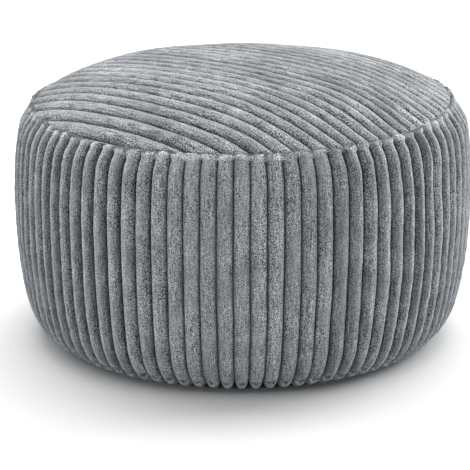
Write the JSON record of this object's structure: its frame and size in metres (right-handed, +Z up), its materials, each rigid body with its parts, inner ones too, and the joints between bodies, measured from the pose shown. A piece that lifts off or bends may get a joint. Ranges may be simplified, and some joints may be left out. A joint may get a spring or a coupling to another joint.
{
  "type": "round bean bag",
  "caption": "Round filled pouf in wide-wale corduroy: ribbed side band drawn in below and rounded above, crowned ribbed top panel and flat plain base.",
  "frame": {"origin": "centre of the flat face that the pouf rests on", "axes": "+Z up along the axis of the round body, +Y to the back; the wales of the top panel run from back left to front right"},
  "size_m": [0.55, 0.55, 0.33],
  "materials": {
    "band_corduroy": "soft wide-wale corduroy pile, mid grey",
    "top_corduroy": "soft wide-wale corduroy pile, mid grey",
    "base_cloth": "plain close-woven cloth, dark grey, matt"
  },
  "bodies": {
    "root": {"side_band": "band_corduroy", "top_panel": "top_corduroy", "bottom_panel": "base_cloth"}
  },
  "joints": []
}
